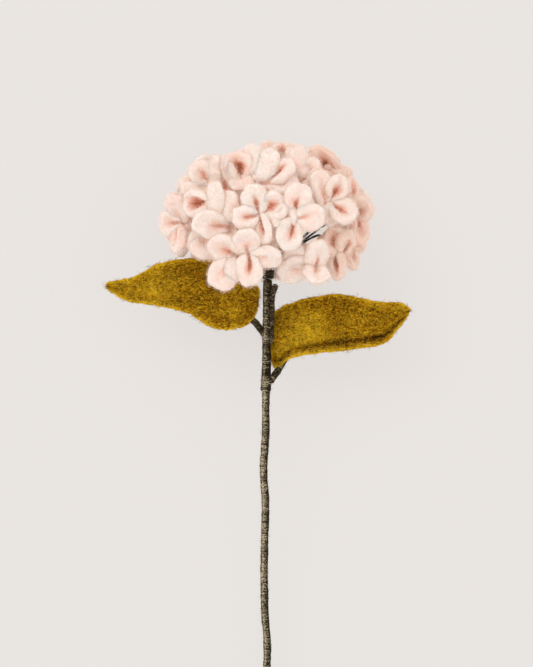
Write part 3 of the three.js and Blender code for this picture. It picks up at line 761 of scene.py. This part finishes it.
# A faint painted glow deeper in the head, warming the gaps between petals.
painted_glow = wool.mix(wool.shade("sunk"), (0, 0, 0), paint(104, 56, 36))
# A painted glow: loose fibres glow faintly so that their shaded sides stay pale, and the glow deep in the
# head is added to it.
wool.put(wool.shader.inputs["Emission Color"], wool.mix(loose, painted_glow, paint(143, 115, 98)))
petal_wool = wool.wear(loose_wool, mat * 0.6 + strands * 0.5 - slit_shade_line * 1.6, 0.0008, 0.6)
print("petal wool:", len(wool.tree.nodes), "nodes")

# %% [markdown]
# ## Four petals felted into a floret
#
# The four petals are felted together round a small middle, so a floret is one piece. Slow and fine
# lumps run through all of it, because nothing felted by hand is even. Its loose fibres are of three
# kinds: a close nap, a halo that softens the outline, and a few long ones. The hidden florets get
# fewer, which keeps the model light.

# %% Make the florets
WOOL_COAT = fibre_kinds(
    (1500, (0.7, 1.6), 0.1, (0, 0.5), 1, 0.3, 1, (1.2, 0.5)),
    (3000, (0.8, 2.2), 0.12, (1.2, 5), 0, 0.3, 1, (1.5, 0.5)),
    (250, (1.4, 3.0), 0.07, (0.5, 2.5), 0, 0.35, 3, (1, 0.5)),
)
HIDDEN_FIBRES = 0.6
WOOL_LUMPS = [(8.0, 0.35), (2.6, 0.14)]
# The middle ball takes the creases' pink and painted shade.
MIDDLE = {"radius": 2.8, "behind": 4.5, "crease": 0.6}
quads_one, fans_one = ring_faces(RINGS, SIDES), pole_faces(RINGS, SIDES)


def ball_grid(middle, radius):
    """A ball on the same grid as a petal: its rings follow a sine and its height a cosine."""
    x, y = np.sin(RUN) * np.cos(AROUND), np.sin(RUN) * np.sin(AROUND)
    ball = np.stack([x, y, -np.cos(RUN) + 0 * AROUND], axis=-1).reshape(-1, 3)
    return middle + radius * np.concatenate([ball, [[0, 0, -1], [0, 0, 1]]])


def floret_parts(spot, out, warmth, petals, seed, share):
    """Four lumpy petals round a small middle, and that share of the loose fibres on them."""
    rng = np.random.default_rng(seed)
    grids = [petal_grid(*petal, out, rng) for petal in petals]
    middle = ball_grid(spot - MIDDLE["behind"] * out, MIDDLE["radius"])
    stride = len(middle)
    plain = np.zeros(stride)
    grids.append((middle, {"crease": plain + MIDDLE["crease"], "aside": plain, "slit": plain}))
    smooth = np.concatenate([grid for grid, _ in grids])
    points = smooth
    for step, (size, height) in enumerate(WOOL_LUMPS):
        push = [lumps(smooth, size, seed + 3 * step + axis) for axis in (1, 2, 3)]
        points = points + height * np.stack(push, axis=-1)
    quads, fans = copies(quads_one, len(grids), stride), copies(fans_one, len(grids), stride)
    shades = {key: np.concatenate([one[key] for _, one in grids]) for key in grids[0][1]}
    shades["blush"] = np.repeat(rng.normal(0, 1, len(grids)), stride)
    # Each point carries its floret's painted shade.
    shades["warmth"] = np.full(len(points), float(warmth))
    shades["sunk"] = inside_head(points)
    body = shape(pressed(laid(points)), quads, fans, **shades)
    weight = (1.1 - shades["crease"]) * (1.1 - shades["sunk"])
    weight[-stride:] = 0
    counts = [round(share * kind["count"]) for kind in WOOL_COAT]
    coats = [coat(body, kind, count, rng, weight) for kind, count in zip(WOOL_COAT, counts)]
    return [body] + coats


for number, floret in enumerate(florets, start=1):
    node = f"floret_{number:02d}"
    share = 1 if number <= len(FRONT_FLORETS) else HIDDEN_FIBRES
    parts = floret_parts(*floret, 100 * number, share)
    add_piece(f"{node}_felt", parts, petal_wool, [node])
print("florets made:", number, "with", sum(kind["count"] for kind in WOOL_COAT), "fibres on each front one")

# %% [markdown]
# ## Thread wound round wire
#
# Every dark part is wire wrapped in fine thread: the stem, the stalks in the head, the stalks of the
# leaves. A bump map of stripes would look flat at the outline, so the thread is real: a tube whose
# radius rises and falls once for each turn of the thread. The phase of that wave grows along the tube
# and once round it, which makes it a spiral and not a stack of rings. Slow lumps are added, because
# hand-wound thread piles up.


# %% Wind a tube
# Painted light and shade round the tube, for light from the left: bearing round the tube, 90 facing
# the viewer, width in degrees, and how much paler the thread is painted, darker as painted shade below 0.
PAINTED_LIGHT_BANDS = [(118, 20, 0.8), (22, 34, -1.3), (174, 7, 1.6)]
THREAD_PITCH = 0.75
RINGS_A_TURN = 4
END_LENGTH = 0.9
WOBBLES = [(0.3, 3.1), (0.15, 1.3)]
THREAD_LUMPS = [(9.0, 1), (3.0, 0.5)]
LUMP_WAVES = 12


def wound(
    line, radius, seed, sides, pitch=THREAD_PITCH, ridge=0.16, lump=0.12, shade=0.0, end=END_LENGTH, worn=0.0
):
    """A wound tube along a smooth line through the given points.

    The radius is the given one, times a dome at both ends, plus ridge * |sin(half the thread's phase)|
    and a slow random lump. The frame round the line is two crosses with one fixed direction."""
    share = np.linspace(0, 1, 60)
    steps = np.linalg.norm(np.diff(smooth_line(line, share), axis=0), axis=1)
    run = np.append(0, np.cumsum(steps))
    count = max(int(run[-1] / pitch * RINGS_A_TURN), 8)
    along = np.linspace(0, run[-1], count)
    line = smooth_line(line, np.interp(along, run, share))
    way = unit(np.gradient(line, axis=0))
    fixed = np.eye(3)[np.argmin(np.abs(line[-1] - line[0]))]
    side = unit(np.cross(way, fixed))
    other = np.cross(way, side)
    angle = np.linspace(0, 2 * np.pi, sides, endpoint=False)[None, :]
    spokes = np.cos(angle)[..., None] * side[:, None] + np.sin(angle)[..., None] * other[:, None]

    rng = np.random.default_rng(seed)
    wobble = sum(high * np.sin(along / size + rng.uniform(0, 6)) for high, size in WOBBLES)
    phase = (along / pitch + wobble)[:, None] + angle / (2 * np.pi)
    strand = np.abs(np.sin(np.pi * phase)) ** 0.7
    near_end = np.minimum(along, run[-1] - along)[:, None] / min(radius, end)
    dome = np.sqrt(np.clip(1 - (1 - np.clip(near_end, 0.02, 1)) ** 2, 0, 1))
    surface = line[:, None] + radius * spokes
    piled = sum(
        high * lumps(surface, size, seed + i, LUMP_WAVES)
        for i, (size, high) in enumerate(THREAD_LUMPS, start=1)
    )
    wide = radius + lump * piled + ridge * (strand - 0.6)
    grid = line[:, None] + (wide * dome)[..., None] * spokes
    turn_tone = np.random.default_rng(seed + 3).normal(shade, 0.9, int(phase.max()) + 3)
    # Painted highlights left of the middle and at the left edge, and painted shade on the right.
    bells = (paler * np.exp(-(((np.degrees(angle) - at) / width) ** 2)) for at, width, paler in PAINTED_LIGHT_BANDS)
    wear = worn * sum(bells) + 0 * phase
    shades = {"strand": strand, "tone": turn_tone[np.floor(phase).astype(int) + 1], "worn": wear}
    return shape(
        laid(np.concatenate([grid.reshape(-1, 3), line[[0, -1]]])),
        ring_faces(count, sides),
        pole_faces(count, sides),
        **{key: np.append(values.ravel(), [0, 0]) for key, values in shades.items()},
    )


STRAY = {
    "length": (0.8, 2.6), "thickness": 0.09, "stand": (0, 0.8), "pressed": 0, "bow": 0.3, "steps": 2,
    "tone": (0.6, 1.2),
}


def with_strays(body, count, seed, **changes):
    """A wound tube and the loose ends of thread on it, as one list of shapes."""
    return [body, coat(body, {**STRAY, **changes}, count, np.random.default_rng(seed))]


def add_thread(node, parts):
    add_piece(f"{node}_thread", parts, winding_thread, [node])


print("thread every", THREAD_PITCH, "mm, with", RINGS_A_TURN, "rings of points a turn")


# %% [markdown]
# ## The thread's finish
#
# The thread is dark olive-brown, with painted shade nearly black in the grooves between turns. Its
# tan is partly its own tone and partly painted highlight down the tube left of its middle and at its
# left edge, with painted shade on its right. Each turn has its own tone, held on the mesh, and fine
# noise adds the single fibres.

# %% Mix the thread
thread = Finish(
    "winding_thread",
    Roughness=0.5,
    Specular_IOR_Level=0.15,
    Specular_Tint=(1, 0.88, 0.68, 1),
)
strand_level = thread.shade("strand")
turn_tone = thread.shade("tone")
streaks = thread.noise(2500, detail=3, stretch=(0.4, 1, 0.4))
flecks = thread.noise(2100, detail=4, distortion=1.0)
patches = thread.noise(120, detail=2)
# Painted shade nearly black in the grooves between turns, each turn's own tone, and the painted light and
# shade round the tube.
turns = (strand_level - 0.75) * 0.8 + turn_tone * 0.17 + thread.shade("worn") * 0.6
level = (
    (streaks - 0.5) * 3.0 + (flecks - 0.5) * 3.6 + (patches - 0.5) * 0.5
    + turns + thread.shade("fibre") * 0.25
)
dark = thread.mix(thread.between(level, -0.7, 0.05), paint(8, 4, 0), paint(54, 43, 22))
# The tan is partly the thread's own tone and partly painted highlight.
worn = thread.mix(thread.between(level, 0.0, 1.0), dark, paint(204, 190, 158))
winding_thread = thread.wear(worn, flecks + streaks + strand_level * 0.5, 0.0005, 0.9)
print("winding thread:", len(thread.tree.nodes), "nodes")

# %% [markdown]
# ## Stem, knot and stalks
#
# The stem is one wound wire in two thicknesses, with a collar where the right leaf's stalk is bound
# in. It follows a line of points down its middle. The upper part holds a second wire on its right,
# whose end sticks out under the head, and the groove between the two shows down the front.

# %% Wind the stem
STEM_LINE = [
    (-0.2, -2.7), (-0.4, -16), (-0.6, -34), (-1, -59), (-1.3, -84), (-2.3, -102), (-1.3, -118),
    (-1.8, -141), (-1.8, -170), (-0.5, -190), (-0.5, -203), (-1.2, -232), (-0.6, -262), (0, -292),
]
SECOND_WIRE = [(2.5, -1, -9), (2.1, -0.9, -15), (1.9, -0.6, -22), (1.6, -0.2, -30), (0.8, 0.4, -36)]
SECOND_RADIUS = 1.5
PALE_RADIUS, PALE_LIFT = 0.16, 0.1
STRAYS = {"each_mm": 4, "short": 60, "knot": 240, "stalk": 24}


def stem_stretch(top, bottom, steps):
    """Points down the stem's middle between two heights: its smooth line, read at even heights."""
    line = smooth_line([(x, 0, z) for x, z in STEM_LINE], np.linspace(0, 1, 600))
    heights = np.linspace(top, bottom, steps)
    x = np.interp(-heights, -line[:, 2], line[:, 0])
    return np.column_stack([x, np.zeros(steps), heights])


def crossing(top, bottom, radius):
    """Points of a loose thread that crosses the stem's front from the left to the right."""
    angle = np.linspace(-1.3, 1.3, 9)
    round_it = np.column_stack([np.sin(angle), -np.cos(angle), 0 * angle])
    return stem_stretch(top, bottom, len(angle)) + radius * round_it


# Each stretch's top and bottom, points, radius, shade and length of its ends, and the pale threads.
STEM_PARTS = {
    "stem_winding_upper": (
        -2.7, -55.8, 9, 2.3, -0.8, END_LENGTH, [(-34.6, -33.4), (-45.8, -45.2), (-27, -28.2)]
    ),
    "leaf_stalk_binding": (-52.6, -61.9, 4, 2.75, 0.2, 2.4, [(-54.8, -57.6), (-57, -55.4)]),
    "stem_winding_lower": (
        -60.6, -291.7, 30, 2.0, 0.5, END_LENGTH, [(-74, -75.2), (-112, -111), (-160, -161.6), (-214, -213.2)]
    ),
}
for number, (node, row) in enumerate(STEM_PARTS.items()):
    top, bottom, steps, radius, shade, end, pale_threads = row
    seed = 5000 + 10 * number
    length = top - bottom
    body = wound(stem_stretch(top, bottom, steps), radius, seed, 24, shade=shade, end=end, worn=1.0)
    parts = with_strays(body, int(STRAYS["each_mm"] * length), seed + 5)
    if node == "stem_winding_upper":
        second = wound(SECOND_WIRE, SECOND_RADIUS, seed + 3, 18, shade=-1.0)
        parts += with_strays(second, STRAYS["short"], seed + 6)
    for ends in pale_threads:
        path = crossing(*ends, radius + PALE_LIFT)
        parts.append(wound(path, PALE_RADIUS, seed + 7, 6, pitch=0.5, ridge=0, lump=0, shade=5))
    add_thread(node, parts)
    print(node, round(length), "mm long,", round(length / THREAD_PITCH), "turns")

# %% [markdown]
# ## The knot and the stalks in the head
#
# The florets' stalks are gathered into six bundles. Each bundle is sheathed in thread as far as the
# fork where its stalks spread, and a short whipping holds it there. The bundles meet in the knot, a
# thick wad of thread with many loose ends. A stalk is so thin that eight sides are enough for it.

# %% Wind the knot and the stalks
HUB = {"half": 2.8, "radius": 2.8}
COARSE_PITCH = 0.9
STALK = {"ring": 3.1, "fork": 7, "fork_height": 9, "radius": 0.6, "behind": 9, "short": 3.2}
SHEATH, WHIPPING = 1.5, 2.0
WHIPPING_HALF = 2.2

knot_line = [(0, 0, HUB["half"] * way) for way in (-1, 0, 1)]
knot = wound(knot_line, HUB["radius"], 5100, 30, pitch=COARSE_PITCH, lump=0.4, shade=-2.0)
tangle = {"length": (1.5, 5.0), "thickness": 0.12, "stand": (0, 1.4), "tone": (-1, 1.6)}
add_thread("branch_hub", with_strays(knot, STRAYS["knot"], 5105, **tangle))

BUNDLES = 6
bearings = [np.arctan2(spot[0], -spot[1]) % (2 * np.pi) for spot, *_ in florets]
for bundle in range(BUNDLES):
    bearing = (bundle + 0.5) * 2 * np.pi / BUNDLES
    around = np.array([np.sin(bearing), -np.cos(bearing), 0])
    root = STALK["ring"] * around + [0, 0, HUB["half"]]
    fork = STALK["fork"] * around + [0, 0, STALK["fork_height"]]
    seed = 5200 + 100 * bundle
    past = WHIPPING_HALF * unit(fork - root)
    tubes = [
        wound([root, (root + fork) / 2, fork], SHEATH, seed, 12, shade=-1.5),
        wound([fork - past, fork, fork + past], WHIPPING, seed + 7, 14, shade=-1.5),
    ]
    for number, (spot, out, *_) in enumerate(florets):
        if int(bearings[number] / (2 * np.pi / BUNDLES)) == bundle:
            line = [fork, spot - STALK["behind"] * out, spot - STALK["short"] * out]
            looks = {"pitch": COARSE_PITCH, "lump": 0.08, "shade": -1.2}
            tubes.append(wound(line, STALK["radius"], seed + number, 8, **looks))
    parts = [with_strays(tube, STRAYS["stalk"], seed + 50 + i) for i, tube in enumerate(tubes)]
    add_thread(f"stalk_bundle_{bundle + 1}", sum(parts, []))
    print("bundle", bundle + 1, "holds", len(tubes) - 2, "stalks")

# %% [markdown]
# ## The short ends
#
# Each leaf hangs on a short wrapped wire that is bound to the stem, and one cut wire end sticks out
# under the head. They are the same thread on the same wire, so the same function winds them.

# %% Wind the leaf stalks and the loose end
SHORT_STALKS = {
    "leaf_stalk_left": ([(-8.6, 0.6, -23.6), (-5.6, 0.3, -26.4), (-1.8, 0, -32)], 1.7),
    "leaf_stalk_right": ([(9.4, 6, -43.6), (5, 3.2, -50.4), (1, 0.8, -56.4)], 1.75),
    "stalk_end": ([(2.2, -1, -11.5), (3.1, -1, -8), (4.1, -1, -5.2)], 1.6),
}
for number, (node, (line, radius)) in enumerate(SHORT_STALKS.items()):
    seed = 6000 + 10 * number
    add_thread(node, with_strays(wound(line, radius, seed, 18, shade=-1.0), STRAYS["short"], seed + 5))
print(len(SHORT_STALKS), "short ends wound")

# %% [markdown]
# ## The wire
#
# The wire inside shows only at the cut end. Its construction node has the right shape already, so it
# stays and gets a brushed finish: a noise stretched along the wire, in its roughness and its bump.

# %% Finish the wire
steel = Finish("stem_wire_steel", Metallic=1.0, Roughness=0.4)
brushed = steel.noise(900, detail=2, stretch=(1, 0.05, 1))
steel.put(steel.shader.inputs["Roughness"], steel.between(brushed, -0.6, 1.6))
steel.wear(steel.mix(brushed, paint(120, 118, 112), paint(158, 156, 150)), brushed, 0.00005)
for holder in bpy.data.objects["stem_wire"].material_slots:
    holder.material = steel.material
    print("wire:", steel.material.name)

# %% [markdown]
# ## Leaves of felt
#
# Each leaf is one thick blade of felt between an upper and a lower edge. A closed slab is simplest as
# a grid: one parameter runs from the stem to the tip, the other right round the blade, over its face
# and back under it. Waves in the blade, the groove along it and the lip that its lower edge curls
# into are all added to the depth. A flat sheet with Solidify would have square rims, and felt's are
# round.

# %% Shape the blades
FELT = 2.6
FELT_LUMPS = [(14, 0.5), (3.5, 0.2), (1.6, 0.12)]
EDGE_LUMPS = (5, 0.22)
RIM_WIDTH = 1.4
LEAF_ENDS = {"round": 0.02, "pinch": 0.03, "fade_in": 0.1, "fade_out": 0.15}
LEAF_GRID = {"along": 170, "around": 96}
LEAVES = {
    "left": {
        "upper": [
            (-4.2, -8), (-9, -3.5), (-20, 3.5), (-31, 7.6), (-44, 8), (-57.5, 5.2), (-70.5, -1.6),
            (-84.6, -4.1),
        ],
        "lower": [
            (-5.2, -18.5), (-9.4, -25.4), (-17, -28.4), (-28, -28.2), (-43, -20), (-59, -16.4),
            (-72.5, -14.4), (-84.6, -8),
        ],
        "rest": [-1.5, 2, 3, -1],
        "valley": (2.4, 0.4, 0.22),
        "lip": (0.8, 0.05, 0.1),
        "crease": (0.6, (0.16, 0.2), 0.06),
        "shadows": [
            (-40, -3, 11, 0.8), (-24, -14, 10, 0.7), (-9, -13, 9, 0.9), (-72, -10, 9, -0.5),
            (-58, -13, 6, -0.9), (-56, -3, 14, -0.5),
        ],
    },
    "right": {
        "upper": [
            (2.2, -20.6), (9, -16), (18, -13.2), (34, -10.4), (47, -12.2), (58, -14.5), (67, -14.6),
            (74.2, -17.4),
        ],
        "lower": [
            (1, -45.4), (4.6, -49.4), (12, -43.9), (28, -41.2), (44, -39.2), (60, -36.4), (68.4, -28),
            (74.2, -20),
        ],
        "rest": [5, 3, 0, 2],
        "valley": (2.6, 0.4, 0.22),
        "lip": (1.8, 0.03, 0.07),
        "crease": (2.3, (0.13, 0.24), 0.045),
        "shadows": [
            (3, -30, 7, 2.2), (14, -38, 12, -1.6), (26, -33, 10, -0.8), (56, -20, 14, 0.6),
            (34, -18, 10, 0.7), (50, -26, 12, 0.4), (24, -37, 9, -0.7),
        ],
    },
}


def leaf_slab(upper, lower, rest, valley, lip, crease, shadows, seed):
    """A closed felt blade. From lower to upper edge goes v, half of 1 - cos of the angle round the
    blade. Half the felt's thickness times a power of the sine rounds the rims. Valley, lip and crease
    are each a height, a place in v and a width of one bell curve, the lip towards the viewer and the
    others away. The crease's place moves with the square of u, and each shadow is a soft round
    patch."""
    count, sides = LEAF_GRID["along"], LEAF_GRID["around"]
    u = np.linspace(0.004, 0.996, count)
    angle = np.linspace(0, 2 * np.pi, sides, endpoint=False)[None, :]
    v = 0.5 - 0.5 * np.cos(angle)

    def edge(points):
        return smooth_line([(x, 0, z) for x, z in points], u)[:, None]

    def bell(height, place, spread):
        return height * np.exp(-(((v - place) / spread) ** 2))

    def round_end(share, reach):
        return np.sqrt(1 - (1 - np.clip(share / reach, 0, 1)) ** 2)[:, None]

    middle = smooth_line([(0, y, 0) for y in rest], u)[:, None, 1]
    spine, across = (edge(lower) + edge(upper)) / 2, edge(upper) - edge(lower)
    blade = spine + across * (v[..., None] - 0.5) * round_end(1 - u, LEAF_ENDS["pinch"])[..., None]
    fade_in, fade_out = u / LEAF_ENDS["fade_in"], (1 - u) / LEAF_ENDS["fade_out"]
    fade = (np.clip(fade_in, 0, 1) * np.clip(fade_out, 0, 1))[:, None]
    felted = np.sign(np.sin(angle)) * np.abs(np.sin(angle)) ** 0.5
    thick = FELT / 2 * round_end(np.minimum(u, 1 - u), LEAF_ENDS["round"]) * felted
    deep, (near, far), spread = crease
    fold = bell(1, (near + (far - near) * u**2)[:, None], spread) * fade
    blade[..., 1] += middle + bell(*valley) + deep * fold - bell(*lip) * fade - thick
    flat = blade.reshape(-1, 3)
    drift = sum(high * lumps(flat, size, seed + i) for i, (size, high) in enumerate(FELT_LUMPS))
    size, high = EDGE_LUMPS
    aside, along = (high * lumps(flat, size, seed + i) for i in (3, 4))
    x, _, z = flat.T
    patches = sum(
        amount * np.exp(-((x - x0) ** 2 + (z - z0) ** 2) / size**2) for x0, z0, size, amount in shadows
    )
    from_rim = np.minimum(v, 1 - v) * np.linalg.norm(across, axis=-1)
    # Painted light along the rims, and painted shade in the crease's groove.
    rim = np.exp(-((from_rim / RIM_WIDTH) ** 2)) - 0.6 * deep * fold
    flat = flat + np.column_stack([aside, drift, along])
    flat = np.vstack([flat, flat[:sides].mean(axis=0), flat[-sides:].mean(axis=0)])
    shades = {"shaded": np.append(patches, [0, 0]), "rim": np.append(rim.ravel(), [1, 1])}
    return shape(pressed(laid(flat)), ring_faces(count, sides), pole_faces(count, sides), **shades)


print("a blade has", LEAF_GRID["along"] * LEAF_GRID["around"] + 2, "points")


# %% [markdown]
# ## The leaf felt's finish
#
# Leaf felt is a mat of fibres in several olives and mustards. Two stretched noises laid over each
# other give short streaks in both directions, a broad one gives darker and lighter areas, and the
# fibres that stand on the blade carry their own tone in the same finish. Soft patches of painted
# shadow, and of painted light where their amount is below 0, painted light along the rims and
# painted shade in the crease's groove are added.

# %% Mix the leaf felt
felt = Finish(
    "leaf_felt",
    Roughness=0.9,
    Specular_IOR_Level=0.04,
    Sheen_Weight=0.06,
    Sheen_Roughness=0.5,
    Sheen_Tint=(1, 0.86, 0.4, 1),
)
streaks = felt.noise(1000, detail=4, distortion=1.5, stretch=(0.5, 1, 1))
crossing = felt.noise(1100, detail=3, distortion=3.0)
areas = felt.noise(60, detail=3)
# Painted shadows and painted light in patches, painted light at the rims and painted shade in the groove.
mottle = (
    streaks * 0.55 + crossing * 0.45 + (areas - 0.5) * 0.2
    - felt.shade("shaded") * 0.035 + felt.shade("rim") * 0.08 + felt.shade("fibre") * 0.075
)
low_felt = felt.mix(felt.between(mottle, 0.39, 0.48), paint(86, 45, 0), paint(196, 133, 0))
high_felt = felt.mix(felt.between(mottle, 0.48, 0.58), low_felt, paint(255, 207, 44))
leaf_felt = felt.wear(high_felt, streaks + crossing, 0.001, 1.0)
print("leaf felt:", len(felt.tree.nodes), "nodes")

# %% [markdown]
# ## Fibres on the leaves
#
# The leaves' wool is coarser than the petals'. Short fibres stand up along the rims, and long ones lie
# pressed into the face, mostly along the leaf. They are a piece of their own.

# %% Make the leaves and their fibres
LEAF_COAT = fibre_kinds(
    (9000, (0.5, 1.1), 0.16, (0, 0.5), 1, 0.3, 1, (0.6, 1.8), 0.5),
    (9000, (1.6, 4.0), 0.22, (0, 0.06), 5, 0.35, 2, (0.3, 2.8), 1),
)
LEAF_GRAIN = {"left": (2.6, 1, 1), "right": (1.1, 1, 1)}
for number, side in enumerate(("left", "right")):
    seed = 7000 + 100 * number
    body = leaf_slab(**LEAVES[side], seed=seed)
    blade = add_piece(f"leaf_{side}_felt", [body], leaf_felt, [f"leaf_{side}"])
    rng = np.random.default_rng(seed + 9)
    mats = []
    for kind in LEAF_COAT:
        inland = np.clip(1 - kind["inland"] * body["shades"]["rim"], 0.02, 1)
        mats.append(coat(body, kind, kind["count"], rng, inland, LEAF_GRAIN[side]))
    mat_piece = add_piece(f"leaf_{side}_fibres", mats, leaf_felt)
